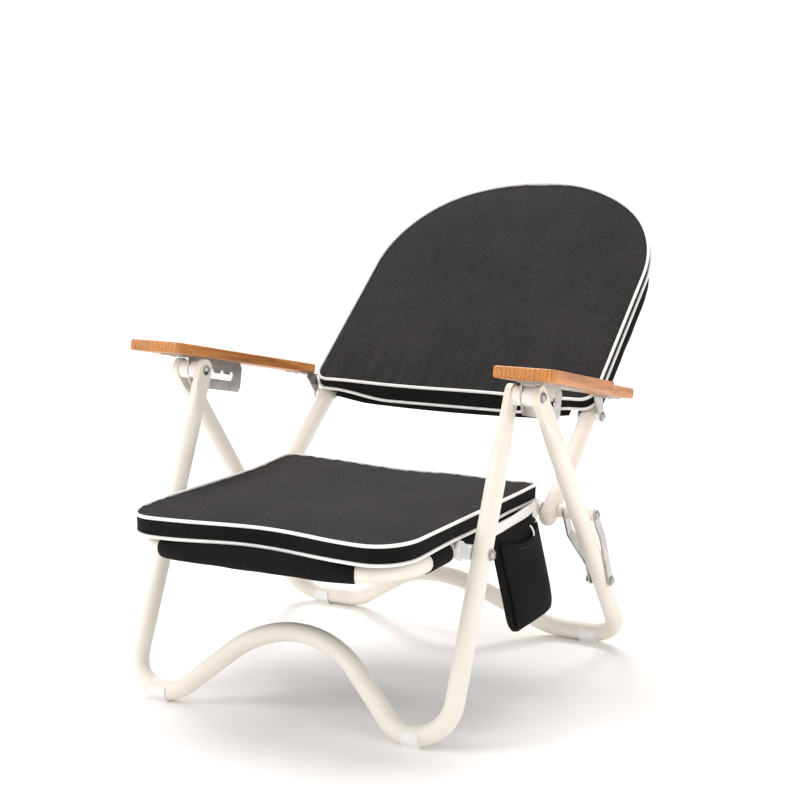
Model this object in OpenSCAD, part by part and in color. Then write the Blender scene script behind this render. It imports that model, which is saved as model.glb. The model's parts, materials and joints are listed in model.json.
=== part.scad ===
// Folding lounge chair: two crossed tube loops, a hinged seat, a reclining
// arch-shaped back and notched teak arms. Origin: floor level, centre of the
// footprint. +X is the sitter's left, -Y is the front, +Z is up.

/* [Frame tubes] */
// Outside diameter of every bent frame tube, in mm
tube_d = 28; // [22:1:34]
// Wall thickness of the frame tubes, in mm
tube_wall = 1.5; // [1:0.1:3]
// Height of the leg pivots above the floor, in mm
pivot_h = 461; // [380:1:540]
// Lean of the front loop from vertical, in degrees
front_lean = 24.3; // [18:0.1:30]
// Lean of the rear loop from vertical, in degrees
rear_lean = 38.8; // [32:0.1:45]
// Distance from the middle to a front leg's centre line, in mm
front_leg_x = 259; // [230:1:290]
// Distance from the middle to a rear leg's centre line, in mm
rear_leg_x = 302; // [275:1:330]

/* [Seat] */
// Height of the seat tubes' centre line, in mm
seat_h = 252; // [220:1:300]
// Distance from the middle to a seat side tube's centre line, in mm
seat_tube_x = 209; // [180:1:230]
// Length of the seat frame from front bar to rear pivot, in mm
seat_len = 470; // [400:1:520]
// Thickness of the seat cushion, in mm
seat_cushion_t = 29.5; // [20:0.5:40]

/* [Back] */
// Angle of the back tubes above horizontal at full recline, in degrees
back_angle = 38.2; // [35:0.1:50]
// Distance from the middle to a back side tube's centre line, in mm
back_tube_x = 241; // [220:1:260]
// Length of the back from its hinge to the top of the arch, in mm
back_len = 683; // [600:1:760]
// Thickness of the back cushion, in mm
back_cushion_t = 23.5; // [16:0.5:32]

/* [Arms] */
// Slope of the arm boards down to the rear, in degrees
arm_slope = 11.66; // [8:0.01:15]
// Thickness of an arm board, in mm
arm_t = 16.8; // [12:0.1:22]
// Width of an arm board at its front, in mm
arm_w = 86; // [60:1:100]
// Pitch of the recline notches, in mm
notch_pitch = 27.5; // [20:0.5:32]
// Number of recline notches
notch_count = 5; // [3:1:5]

/* [Hidden] */
$fn = 72;
tube_r = tube_d / 2;
tube_hole = tube_r - tube_wall;

// Along the slanted pieces of a floor loop, straights lap into the bends by loop_lap,
// and the bends are thinner by loop_skin
loop_lap = 0.5;
loop_skin = 0.01;

bolt_r = 4;
bore_r = bolt_r + 0.05;
head_r = 7;
head_t = 4.5;
gap = 0.3;
plate_t = 2.4;
link_t = 3;

// Canvas layers
sleeve_in = tube_r + 0.2;
sleeve_out = tube_r + 1.4;
sling_low = 12.2;
sling_top = 15;
cushion_gap = 0.6;
back_cushion_top = 728;

// The leg pivot lies where the chair's middle, front to back, falls on the origin
hinge_reach = 200;
front_reach = seat_len - hinge_reach + sleeve_out;
rear_reach = hinge_reach + back_cushion_top * cos(back_angle) - (sling_top + cushion_gap) * sin(back_angle);
pivot_y = (front_reach - rear_reach) / 2;
clip_t = 1.7;
foot_z = tube_r + clip_t;
front_len = (pivot_h - foot_z) / cos(front_lean);
rear_len = (pivot_h - foot_z) / cos(rear_lean);

// Foot loops: [apex height, apex radius, inner foot x, inner foot radius]
front_wave = [113, 150, 200, 52];
rear_wave = [109, 120, 200, 60];
leg_bend_r = 52;

// Flattened upper end of a leg
tab_t = 9;
tab_r = 16.5;
tab_len = 24;
flare_len = 62;

// Pivot centres in the side view, as [y, z]
leg_pivot = [pivot_y, pivot_h];
seat_pivot = [pivot_y - (pivot_h - seat_h) * tan(front_lean), seat_h];
back_pivot = [pivot_y + hinge_reach, seat_h];
link_drop = 419;
link_pivot = [pivot_y + link_drop * sin(rear_lean), pivot_h - link_drop * cos(rear_lean)];
arm_pivot_s = 200;

// Links
link_vec = back_pivot - link_pivot;
link_len = norm(link_vec);
link_angle = atan2(link_vec[1], link_vec[0]);
link_w = 18;
inner_link_top_x = 263.5;
inner_link_low_x = rear_leg_x - tube_r - 0.5 - link_t;
outer_link_top_x = 313.5;
outer_link_low_x = rear_leg_x + tube_r + 0.5;
inner_joggle = [34, 92];
outer_joggle = [95, 115];
hinge_spacer_r = 10.5;

// Seat
seat_corner_r = 95;
seat_front_y = back_pivot[0] - seat_len;
seat_bar_y = back_pivot[0] - 48;
seat_side_y = seat_front_y + seat_corner_r + 1;
sling_rear_y = seat_bar_y - 14;
seat_bar_r = 11;
seat_cushion_x = 225;
seat_cushion_r = 52;

// Back
back_arch_r = 218;
back_end_s = -14;
back_sleeve_s = 214;
back_sling_s = 184;
back_cushion_x = 260;
back_cushion_s = 197;
back_cushion_arch_r = 236;

// Arms
arm_inner_x = 266;
arm_low = 20;
arm_front = 75.5;
arm_flare = 7;
arm_rear = 361;
arm_tail_w = 50;
bracket_x = 278;
slot_low = -10.5;
slot_tooth = -1.5;
slot_top = 4.3;
screw_y = [-20, 122];
screw_x = bracket_x + 26;
screw_hole_r = 2.6;
rear_plate_x = 262;
rear_screw_x = rear_plate_x + 20;
rear_screw_y = [-46, -20];
arm_corners = [5, 12, 46, 46, 5, 5];
arm_step = [168, 228];
edge_r = 3.2;
edge_steps = 4;

// The arm's rear pivot, in the arm frame
arm_pivot_yz = back_pivot + arm_pivot_s * [cos(back_angle), sin(back_angle)] - leg_pivot;
arm_pivot_a = arm_pivot_yz * [cos(arm_slope), -sin(arm_slope)];
arm_pivot_b = arm_pivot_yz * [sin(arm_slope), cos(arm_slope)];

// Side pocket
pocket_x0 = 225;
pocket_x1 = 243.4;
pocket_y0 = pivot_y + 4;
pocket_y1 = pivot_y + 148;
pocket_lean = 26;
pocket_top = seat_h - 2;
pocket_bottom = 100;

cream = [0.93, 0.90, 0.84];
canvas = [0.13, 0.125, 0.125];
teak = [0.78, 0.50, 0.25];
steel = [0.62, 0.60, 0.58];
nylon = [0.93, 0.92, 0.91];
white_tape = [0.95, 0.95, 0.94];
dark_steel = [0.45, 0.43, 0.41];

// ---- shared shapes ----

// Both sides of the chair
module both() {
  children();
  mirror([1, 0, 0]) children();
}

// A round bar along X from x0 to x1, centred on a side-view point
module bar_x(x0, x1, p, r) {
  translate([x0, p[0], p[1]]) rotate([0, 90, 0]) cylinder(r = r, h = x1 - x0);
}

// A ring along X
module ring_x(x0, x1, p, r, hole) {
  difference() {
    bar_x(x0, x1, p, r);
    bar_x(x0 - 1, x1 + 1, p, hole);
  }
}

// A domed bolt head along X: dir is +1 or -1, x is its seat
module dome_head(x, p, dir) {
  translate([x, p[0], p[1]]) rotate([0, dir * 90, 0]) rotate_extrude() {
    difference() {
      intersection() {
        translate([0, head_t - 9.2]) circle(r = 9.2);
        square([head_r, head_t]);
      }
      translate([-0.1, head_t - 1.6]) square([2.1, 2]);
    }
  }
}

// A hexagon nut along X
module hex_nut(x, p, dir) {
  translate([x, p[0], p[1]]) rotate([0, dir * 90, 0]) cylinder(r = 7.2, h = 5, $fn = 6);
}

// Tube cross-section: outer radius r, bore radius hole (0 for a solid bar)
module section(r, hole) {
  difference() {
    circle(r = r);
    if (hole > 0) circle(r = hole);
  }
}

// Straight length in the XY plane from p, along angle a, longer by lap at each end
module straight(p, a, len, r, hole = 0, lap = 0) {
  translate([p[0], p[1], 0]) rotate([0, 0, a]) translate([-lap, 0, 0]) rotate([0, 90, 0])
    linear_extrude(len + 2 * lap) section(r, hole);
}

// Bend in the XY plane about c, from angle a0 through sweep, its wall thinner by skin on each face
module bend(c, bend_r, a0, sweep, r, hole = 0, skin = 0) {
  translate([c[0], c[1], 0]) rotate([0, 0, a0]) rotate_extrude(angle = sweep) translate([bend_r, 0])
    section(r - skin, hole > 0 ? hole + skin : 0);
}

// Floor loop with a raised middle, drawn in the XY plane
module wave_loop(leg_x, leg_len, wave, r, hole = 0) {
  foot_out = leg_x - leg_bend_r;
  low_c = [wave[2], wave[3]];
  top_c = [0, wave[0] - wave[1]];
  span = norm(low_c - top_c);
  slope = asin((wave[1] + wave[3]) / span) - atan2(low_c[1] - top_c[1], low_c[0]);
  start = top_c + wave[1] * [sin(slope), cos(slope)];
  end = low_c - wave[3] * [sin(slope), cos(slope)];
  bend(top_c, wave[1], 90 - slope, 2 * slope, r, hole, loop_skin);
  for (side = [0, 1]) mirror([side, 0, 0]) {
    straight(start, -slope, norm(end - start), r, hole, loop_lap);
    bend(low_c, wave[3], 270 - slope, slope, r, hole, loop_skin);
    straight([wave[2], 0], 0, foot_out - wave[2], r, hole, loop_lap);
    bend([foot_out, leg_bend_r], leg_bend_r, 270, 90, r, hole, loop_skin);
    straight([leg_x, leg_bend_r], 90, leg_len - leg_bend_r - tab_len - flare_len, r, hole, loop_lap);
  }
}

// Flattened leg end: the round tube flares into a flat rounded tab
module leg_end(leg_x, leg_len) {
  flare_y = leg_len - tab_len - flare_len;
  translate([leg_x, 0, 0]) {
    hull() {
      translate([0, flare_y - 2, 0]) rotate([-90, 0, 0]) cylinder(r = tube_r - 0.4, h = 1, $fn = 40);
      translate([-tab_t / 2, leg_len - tab_len - 1, -tab_r]) cube([tab_t, 1, 2 * tab_r]);
    }
    translate([-tab_t / 2, leg_len - tab_len, -tab_r]) cube([tab_t, tab_len, 2 * tab_r]);
    translate([-tab_t / 2, leg_len, 0]) rotate([0, 90, 0]) cylinder(r = tab_r, h = tab_t);
  }
}

module leg_frame(leg_x, leg_len, wave) {
  wave_loop(leg_x, leg_len, wave, tube_r, tube_hole);
  for (side = [0, 1]) mirror([side, 0, 0]) leg_end(leg_x, leg_len);
}

// Places the XY plane of a loop in its leaning plane, foot line at floor level
module lean(angle, dir) {
  foot_y = pivot_y + dir * (pivot_h - foot_z) * tan(angle);
  translate([0, foot_y, foot_z]) rotate([90 + dir * angle, 0, 0]) children();
}

// Snap-on foot clip around the lowest stretch of a loop
module foot_clip(x, angle, dir, leg_x, leg_len, wave) {
  foot_y = pivot_y + dir * (pivot_h - foot_z) * tan(angle);
  clip_w = 27;
  difference() {
    translate([x - clip_w / 2, foot_y, 0]) {
      translate([0, 0, foot_z]) rotate([0, 90, 0]) cylinder(r = foot_z + 0.6, h = clip_w);
      translate([0, -10, 0]) cube([clip_w, 20, 8]);
    }
    lean(angle, dir) wave_loop(leg_x, leg_len, wave, tube_r + 0.03);
    translate([x - clip_w, foot_y - tube_r, foot_z + 5]) cube([2 * clip_w, tube_d, tube_d]);
    translate([x - clip_w, foot_y - 2 * tube_r, -tube_d]) cube([2 * clip_w, 2 * tube_d, tube_d]);
  }
}

// ---- rear frame ----

module rear_leg_frame() {
  color(cream) difference() {
    lean(rear_lean, 1) leg_frame(rear_leg_x, rear_len, rear_wave);
    both() {
      bar_x(rear_leg_x - 20, rear_leg_x + 20, leg_pivot, bore_r);
      bar_x(rear_leg_x - 20, rear_leg_x + 20, link_pivot, bore_r);
    }
  }
}

module rear_foot_clips() {
  color(nylon) both() foot_clip(rear_leg_x - leg_bend_r, rear_lean, 1, rear_leg_x, rear_len, rear_wave);
}

module leg_pivot_bolts_outer() {
  color(dark_steel) both() {
    bar_x(bracket_x + plate_t + gap, rear_leg_x + tab_t / 2 + 1.5, leg_pivot, bolt_r);
    bar_x(rear_leg_x + tab_t / 2, rear_leg_x + tab_t / 2 + 1.5, leg_pivot, head_r + 1.5);
    dome_head(rear_leg_x + tab_t / 2 + 1.5, leg_pivot, 1);
  }
}

module link_pivot_bolts() {
  color(dark_steel) both() {
    bar_x(inner_link_low_x - 3, outer_link_low_x + link_t + gap, link_pivot, bolt_r);
    dome_head(outer_link_low_x + link_t + gap, link_pivot, 1);
    hex_nut(inner_link_low_x - gap, link_pivot, -1);
  }
}

// ---- front frame ----

module front_leg_frame() {
  color(cream) difference() {
    lean(front_lean, -1) leg_frame(front_leg_x, front_len, front_wave);
    both() {
      bar_x(front_leg_x - 20, front_leg_x + 20, leg_pivot, bore_r);
      bar_x(front_leg_x - 20, front_leg_x + 20, seat_pivot, bore_r);
    }
  }
}

module front_foot_clips() {
  color(nylon) both() foot_clip(front_leg_x - leg_bend_r, front_lean, -1, front_leg_x, front_len, front_wave);
}

module leg_pivot_bolts_inner() {
  color(dark_steel) both() {
    bar_x(front_leg_x - tab_t / 2 - 1, bracket_x - gap, leg_pivot, bolt_r);
    bar_x(front_leg_x - tab_t / 2 - 1, front_leg_x - tab_t / 2, leg_pivot, head_r + 1);
    dome_head(front_leg_x - tab_t / 2 - 1, leg_pivot, -1);
  }
}

// Collared nylon spacer between the seat tube and the front leg
module seat_pivot_spacers() {
  x0 = seat_tube_x + tube_r + gap;
  x1 = front_leg_x - tube_r;
  color(nylon) both() difference() {
    union() {
      bar_x(x0, x1, seat_pivot, 11);
      bar_x(x0, x0 + 3.5, seat_pivot, 14.5);
    }
    bar_x(x0 - 1, x1 + 1, seat_pivot, bore_r);
  }
}

module seat_pivot_bolts() {
  x0 = seat_tube_x + tube_r + gap;
  x1 = front_leg_x + tube_r;
  color(dark_steel) both() {
    bar_x(x0, x1 + 1.5, seat_pivot, bolt_r);
    bar_x(x1, x1 + 1.5, seat_pivot, head_r + 1.5);
    dome_head(x1 + 1.5, seat_pivot, 1);
  }
}

// ---- links and rear hinge ----

// Joggled flat link. Lengths run from the lower bore (0) to the upper bore.
module link(low_x, top_x, joggle) {
  edge = [[low_x, -link_w], [low_x, joggle[0]], [top_x, joggle[1]], [top_x, link_len + link_w]];
  profile = concat(edge, [for (i = [3 : -1 : 0]) edge[i] + [link_t, 0]]);
  translate([0, link_pivot[0], link_pivot[1]]) rotate([link_angle - 90, 0, 0]) difference() {
    intersection() {
      translate([0, link_w, 0]) rotate([90, 0, 0]) linear_extrude(2 * link_w) polygon(profile);
      translate([low_x - 60, 0, 0]) rotate([0, 90, 0]) linear_extrude(120) {
        circle(d = link_w);
        translate([-link_len, 0]) circle(d = link_w);
        translate([-link_len, -link_w / 2]) square([link_len, link_w]);
      }
    }
    for (z = [0, link_len]) translate([low_x - 60, 0, z]) rotate([0, 90, 0]) cylinder(r = bore_r, h = 120);
  }
}

module inner_links() {
  color(steel) both() link(inner_link_low_x, inner_link_top_x, inner_joggle);
}

module outer_links() {
  color(steel) both() link(outer_link_low_x, outer_link_top_x, outer_joggle);
}

module hinge_spacers() {
  color(cream) both() ring_x(inner_link_top_x + link_t, outer_link_top_x, back_pivot, hinge_spacer_r, bore_r);
}

module hinge_bolts() {
  x0 = seat_tube_x - tube_r - 1;
  x1 = outer_link_top_x + link_t;
  color(dark_steel) both() {
    bar_x(x0 - 3, x1, back_pivot, bolt_r);
    hex_nut(x0 + 0.7, back_pivot, -1);
    dome_head(x1, back_pivot, 1);
  }
}

// ---- seat ----

// Seat tube path in plan
module seat_path(r, hole = 0) {
  corner = seat_tube_x - seat_corner_r;
  straight([-corner, seat_front_y], 0, 2 * corner, r, hole);
  for (side = [0, 1]) mirror([side, 0, 0]) {
    bend([corner, seat_front_y + seat_corner_r], seat_corner_r, 270, 90, r, hole);
    straight([seat_tube_x, seat_front_y + seat_corner_r], 90,
      back_pivot[0] + tube_r - seat_front_y - seat_corner_r, r, hole);
  }
}

module seat_frame() {
  color(cream) translate([0, 0, seat_h]) difference() {
    seat_path(tube_r, tube_hole);
    both() {
      bar_x(seat_tube_x - 20, seat_tube_x + 20, [back_pivot[0], 0], bore_r);
      bar_x(seat_tube_x - 20, seat_tube_x + 20, [seat_pivot[0], 0], bore_r);
    }
  }
}

module seat_cross_bar() {
  color(cream) difference() {
    bar_x(-seat_tube_x, seat_tube_x, [seat_bar_y, seat_h], seat_bar_r);
    both() bar_x(-seat_tube_x - 1, seat_tube_x + 1, [seat_bar_y, seat_h], seat_bar_r - 1.5);
    translate([0, 0, seat_h]) seat_path(tube_r);
  }
}

// Canvas panel stretched over the seat frame, between the sleeves
module seat_sling() {
  corner = seat_tube_x - seat_corner_r;
  edge = tube_r + 4;
  half = [[corner, seat_front_y], [corner, seat_front_y + edge], [seat_tube_x - edge, seat_side_y],
    [seat_tube_x, seat_side_y], [seat_tube_x, sling_rear_y]];
  color(canvas) translate([0, 0, seat_h]) difference() {
    translate([0, 0, sling_low]) linear_extrude(sling_top - sling_low)
      polygon(concat(half, [for (i = [len(half) - 1 : -1 : 0]) [-half[i][0], half[i][1]]]));
    seat_sleeve_path(sleeve_out);
    seat_path(sleeve_in);
  }
}

// Sleeve stretches along the front bar and the side tubes, clear of the front pivots
module seat_sleeve_path(r) {
  corner = seat_tube_x - seat_corner_r;
  boss = 18;
  straight([-corner, seat_front_y], 0, 2 * corner, r);
  for (side = [0, 1]) mirror([side, 0, 0]) {
    straight([seat_tube_x, seat_side_y], 90, seat_pivot[0] - boss - seat_side_y, r);
    straight([seat_tube_x, seat_pivot[0] + boss], 90, sling_rear_y - seat_pivot[0] - boss, r);
  }
}

module seat_sling_sleeves() {
  color(canvas) translate([0, 0, seat_h]) difference() {
    seat_sleeve_path(sleeve_out);
    seat_path(sleeve_in);
  }
}

module seat_cushion() {
  y0 = seat_front_y + 2;
  y1 = back_pivot[0] - 2;
  r = seat_cushion_r;
  r_rear = 9;
  color(canvas) translate([0, 0, seat_h + sling_top + cushion_gap]) linear_extrude(seat_cushion_t) {
    for (x = [-1, 1]) {
      translate([x * (seat_cushion_x - r), y0 + r]) circle(r = r);
      translate([x * (seat_cushion_x - r_rear), y1 - r_rear]) circle(r = r_rear);
    }
    translate([-seat_cushion_x + r, y0]) square([2 * (seat_cushion_x - r), y1 - y0]);
    translate([-seat_cushion_x + r_rear, y0 + r]) square([2 * (seat_cushion_x - r_rear), y1 - y0 - r]);
    translate([-seat_cushion_x, y0 + r]) square([2 * seat_cushion_x, y1 - y0 - r - r_rear]);
  }
}

// The seat side of each front pivot: a stud through the tube with a nut inside
module seat_pivot_studs() {
  x0 = seat_tube_x - tube_r;
  color(dark_steel) both() {
    bar_x(x0 - 3, seat_tube_x + tube_r, seat_pivot, bolt_r);
    hex_nut(x0, seat_pivot, -1);
  }
}

module hinge_washers() {
  color(nylon) both() ring_x(seat_tube_x + tube_r, back_tube_x - tube_r - gap, back_pivot, 11, bore_r);
}

// ---- side pocket, hung from the left seat tube ----

// Pouch outline in the side view, as [y, z], with rounded lower corners
function pocket_outline(inset, top) = rounded([
    [pocket_y0 + pocket_lean + inset, pocket_bottom + inset],
    [pocket_y1 + pocket_lean - inset, pocket_bottom + inset],
    [pocket_y1 - inset, top], [pocket_y0 + inset, top]],
  [18 - inset, 18 - inset, 1.5, 1.5], 8);

module side_plate(x0, x1) {
  translate([x0, 0, 0]) rotate([90, 0, 90]) linear_extrude(x1 - x0) children();
}

module pocket_pouch() {
  color(canvas) side_plate(pocket_x0, pocket_x1 - 5) polygon(pocket_outline(0, pocket_top));
}

// Patch pocket on the pouch's outer face, open at the top
module pocket_patch() {
  color(canvas) side_plate(pocket_x1 - 4.8, pocket_x1) polygon(pocket_outline(7, pocket_top - 38));
}

module pocket_tape() {
  color(white_tape) translate([pocket_x0, pocket_y0 - 3, pocket_top + 0.3])
    cube([4, pocket_y1 - pocket_y0 + 5, 8]);
}

// Folded tape end with an eyelet
module pocket_tab() {
  y = pocket_y1 + 6;
  color(white_tape) difference() {
    translate([pocket_x0, y, pocket_top - 26]) cube([1.6, 12, 33]);
    bar_x(pocket_x0 - 1, pocket_x0 + 3, [y + 6, pocket_top - 17], 2.6);
  }
}

// Tie tape at each rear corner of the cushion
module seat_ties() {
  color(white_tape) both() translate([seat_tube_x - 6, back_pivot[0] - 1, seat_h + sling_top])
    cube([9, 2, 22]);
}

// ---- back ----

module hinge_stubs() {
  color(cream) both() ring_x(back_tube_x + tube_r + gap, inner_link_top_x - gap, back_pivot, 10, bore_r);
}

// Back frame: local X is the chair's X, local Y runs up the back, local Z points forward
module in_back() {
  translate([0, back_pivot[0], back_pivot[1]]) rotate([back_angle, 0, 0]) children();
}

// Side-view point at s up the back
function back_point(s) = back_pivot + s * [cos(back_angle), sin(back_angle)];

// Arch path from s0 up
module back_path(s0, r, hole = 0) {
  top_x = back_tube_x - back_arch_r;
  arch_s = back_len - back_arch_r;
  straight([-top_x, back_len], 0, 2 * top_x, r, hole);
  for (side = [0, 1]) mirror([side, 0, 0]) {
    straight([back_tube_x, s0], 90, arch_s - s0, r, hole);
    bend([top_x, arch_s], back_arch_r, 0, 90, r, hole);
  }
}

module back_frame() {
  color(cream) difference() {
    in_back() back_path(back_end_s, tube_r, tube_hole);
    both() {
      bar_x(back_tube_x - 20, back_tube_x + 20, back_pivot, bore_r);
      bar_x(back_tube_x - 20, back_tube_x + 20, back_point(arm_pivot_s), bore_r);
    }
  }
}

module back_end_caps() {
  color(cream) both() in_back() translate([back_tube_x, back_end_s, 0]) difference() {
    sphere(r = tube_r);
    translate([-tube_d, 0, -tube_d]) cube([2 * tube_d, tube_d, 2 * tube_d]);
  }
}

// Canvas panel stretched over the back frame
module back_sling() {
  arch_s = back_len - back_arch_r;
  top_x = back_tube_x - back_arch_r;
  low_x = back_tube_x - 26;
  color(canvas) in_back() difference() {
    translate([0, 0, sling_low]) linear_extrude(sling_top - sling_low) {
      translate([-low_x, back_sling_s]) square([2 * low_x, arch_s - back_sling_s]);
      translate([-back_tube_x, back_sleeve_s]) square([2 * back_tube_x, arch_s - back_sleeve_s]);
      for (x = [-1, 1]) translate([x * top_x, arch_s]) circle(r = back_arch_r);
      translate([-top_x, arch_s]) square([2 * top_x, back_arch_r]);
    }
    back_path(back_sleeve_s, sleeve_out);
  }
}

// Canvas sleeve round the arch of the back frame
module back_sling_sleeve() {
  color(canvas) in_back() difference() {
    back_path(back_sleeve_s, sleeve_out);
    back_path(back_end_s, sleeve_in);
  }
}

module back_cushion() {
  arch_s = back_cushion_top - back_cushion_arch_r;
  arch_x = back_cushion_x - back_cushion_arch_r;
  r = 24;
  color(canvas) in_back() translate([0, 0, sling_top + cushion_gap]) linear_extrude(back_cushion_t) {
    for (x = [-1, 1]) {
      translate([x * arch_x, arch_s]) circle(r = back_cushion_arch_r);
      translate([x * (back_cushion_x - r), back_cushion_s + r]) circle(r = r);
    }
    translate([-arch_x, arch_s]) square([2 * arch_x, back_cushion_arch_r]);
    translate([-back_cushion_x, back_cushion_s + r]) square([2 * back_cushion_x, arch_s - back_cushion_s - r]);
    translate([-back_cushion_x + r, back_cushion_s]) square([2 * (back_cushion_x - r), 2 * r]);
  }
}

module arm_pivot_spacers() {
  color(nylon) both() difference() {
    bar_x(back_tube_x, rear_plate_x - gap, back_point(arm_pivot_s), 8);
    bar_x(back_tube_x - 1, rear_plate_x, back_point(arm_pivot_s), bore_r);
    in_back() straight([back_tube_x, 100], 90, 200, tube_r);
  }
}

module arm_pivot_bolts() {
  x0 = back_tube_x - tube_r;
  color(steel) both() {
    bar_x(x0 - 1.5, rear_plate_x - gap, back_point(arm_pivot_s), bolt_r);
    bar_x(x0 - 1.5, x0, back_point(arm_pivot_s), head_r + 1.5);
    dome_head(x0 - 1.5, back_point(arm_pivot_s), -1);
  }
}

// ---- arms ----

module leg_spacers_inner() {
  color(nylon) both() ring_x(front_leg_x + tab_t / 2 + 0.2, bracket_x - gap, leg_pivot, tube_r, bore_r);
}

module leg_spacers_outer() {
  color(nylon) both()
    ring_x(bracket_x + plate_t + gap, rear_leg_x - tab_t / 2 - 0.2, leg_pivot, tube_r, bore_r);
}

// Arm frame: local Y runs down the arm to the rear from the leg pivot, local Z is square to the board
module in_arm() {
  translate([0, leg_pivot[0], leg_pivot[1]]) rotate([-arm_slope, 0, 0]) children();
}

function unit(v) = v / norm(v);

// Points of a rounded corner b between a and c
function corner_arc(a, b, c, r, n) = let (
    u = unit(a - b), w = unit(c - b),
    half = acos(u * w) / 2,
    centre = b + unit(u + w) * r / sin(half),
    p = b + u * r / tan(half) - centre,
    q = b + w * r / tan(half) - centre,
    a0 = atan2(p[1], p[0]),
    turn = atan2(p[0] * q[1] - p[1] * q[0], p * q)
  ) [for (i = [0 : n]) centre + r * [cos(a0 + turn * i / n), sin(a0 + turn * i / n)]];

function rounded(points, radii, n) = [for (i = [0 : len(points) - 1])
  each corner_arc(points[(i + len(points) - 1) % len(points)], points[i],
    points[(i + 1) % len(points)], radii[i], n)];

// Outline moved inward by d, for a counter-clockwise outline
function inset_outline(p, d) = [for (i = [0 : len(p) - 1]) let (
    t = unit(p[(i + 1) % len(p)] - p[(i + len(p) - 1) % len(p)])
  ) p[i] + d * [-t[1], t[0]]];

board_outline = rounded([
    [arm_inner_x - arm_flare, -arm_front], [arm_inner_x + arm_w, -arm_front],
    [arm_inner_x + arm_w, arm_step[0]], [arm_inner_x + arm_tail_w, arm_step[1]],
    [arm_inner_x + arm_tail_w, arm_rear], [arm_inner_x, arm_rear]],
  arm_corners, 8);

// [inset, height] of each ring from the underside to the top
edge_rings = [
  for (i = [0 : edge_steps]) let (a = 90 * i / edge_steps) [edge_r * (1 - sin(a)), edge_r * (1 - cos(a))],
  for (i = [0 : edge_steps]) let (a = 90 * i / edge_steps)
    [edge_r * (1 - cos(a)), arm_t - edge_r + edge_r * sin(a)]];

module board() {
  n = len(board_outline);
  rings = len(edge_rings);
  points = [for (e = edge_rings) let (o = inset_outline(board_outline, e[0]))
    for (p = o) [p[0], p[1], arm_low + e[1]]];
  faces = concat(
    [[for (i = [0 : n - 1]) i]],
    [for (k = [0 : rings - 2]) for (i = [0 : n - 1]) let (j = (i + 1) % n)
      [k * n + i, (k + 1) * n + i, (k + 1) * n + j, k * n + j]],
    [[for (i = [n - 1 : -1 : 0]) (rings - 1) * n + i]]);
  in_arm() polyhedron(points, faces);
}

module arm_board_left() {
  color(teak) board();
}

module arm_board_right() {
  color(teak) mirror([1, 0, 0]) board();
}

// Slot with saw-tooth notches along its upper edge, in [a, b] of the arm frame
module notch_slot() {
  end = notch_pitch * (notch_count - 1);
  half = bolt_r + 0.5;
  translate([0, slot_low + half]) circle(r = half);
  translate([end, slot_low + half]) circle(r = half);
  translate([0, slot_low]) square([end, slot_tooth - slot_low]);
  translate([-half, slot_low + half]) square([end + 2 * half, slot_tooth - slot_low - half]);
  for (i = [0 : notch_count - 1]) translate([i * notch_pitch, 0]) {
    circle(r = slot_top);
    polygon([[-slot_top, slot_tooth - 0.5], [slot_top + 5, slot_tooth - 0.5], [slot_top, 0], [-slot_top, 0]]);
  }
}

// Front arm bracket: slotted side plate with a flange under the board
module arm_brackets() {
  plate = [[-15, 17.6], [-15, 6], [-6, -20], [2, -27.5], [134, -27.5], [140, -21], [140, 12], [134, 17.6]];
  color(steel) both() in_arm() {
    difference() {
      translate([bracket_x, 0, 0]) rotate([90, 0, 90]) linear_extrude(plate_t) polygon(plate);
      translate([bracket_x - 1, 0, 0]) rotate([90, 0, 90]) linear_extrude(plate_t + 2) notch_slot();
    }
    difference() {
      translate([bracket_x, -32, arm_low - plate_t]) cube([42, 166, plate_t]);
      for (y = screw_y) translate([screw_x, y, 0]) cylinder(r = screw_hole_r, h = 40);
    }
  }
}

module screw(x, y) {
  translate([x, y, arm_low - plate_t - 1.4]) cylinder(r = 4.4, h = 1.4);
  translate([x, y, arm_low - plate_t - 0.2]) cylinder(r = 2.5, h = plate_t + 0.2);
}

module bracket_screws() {
  color(steel) both() in_arm() for (y = screw_y) screw(screw_x, y);
}

// Rear arm bracket: a small angle that carries the board's tail on the back tube
module arm_rear_brackets() {
  tail = arm_pivot_a;
  eye_r = 9;
  color(steel) both() in_arm() {
    difference() {
      union() {
        translate([rear_plate_x, tail, arm_pivot_b]) rotate([0, 90, 0]) cylinder(r = eye_r, h = plate_t);
        translate([rear_plate_x, 0, 0]) rotate([90, 0, 90]) linear_extrude(plate_t) polygon([
          [tail - eye_r, arm_pivot_b], [tail + eye_r, arm_pivot_b], [tail - eye_r, arm_low - 0.2],
          [tail - 40, arm_low - 0.2], [tail - 40, arm_low - 8]]);
      }
      translate([rear_plate_x - 1, tail, arm_pivot_b]) rotate([0, 90, 0]) cylinder(r = bore_r, h = plate_t + 2);
    }
    difference() {
      translate([rear_plate_x, tail - 62, arm_low - plate_t]) cube([32, 56, plate_t]);
      for (y = rear_screw_y) translate([rear_screw_x, tail + y, 0]) cylinder(r = screw_hole_r, h = 40);
    }
  }
}

module rear_bracket_screws() {
  color(steel) both() in_arm() for (y = rear_screw_y) screw(rear_screw_x, arm_pivot_a + y);
}

module arm_pivot_heads() {
  x1 = rear_plate_x + plate_t;
  color(dark_steel) both() {
    bar_x(rear_plate_x, x1, back_point(arm_pivot_s), bolt_r);
    dome_head(x1, back_point(arm_pivot_s), 1);
  }
}

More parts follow.
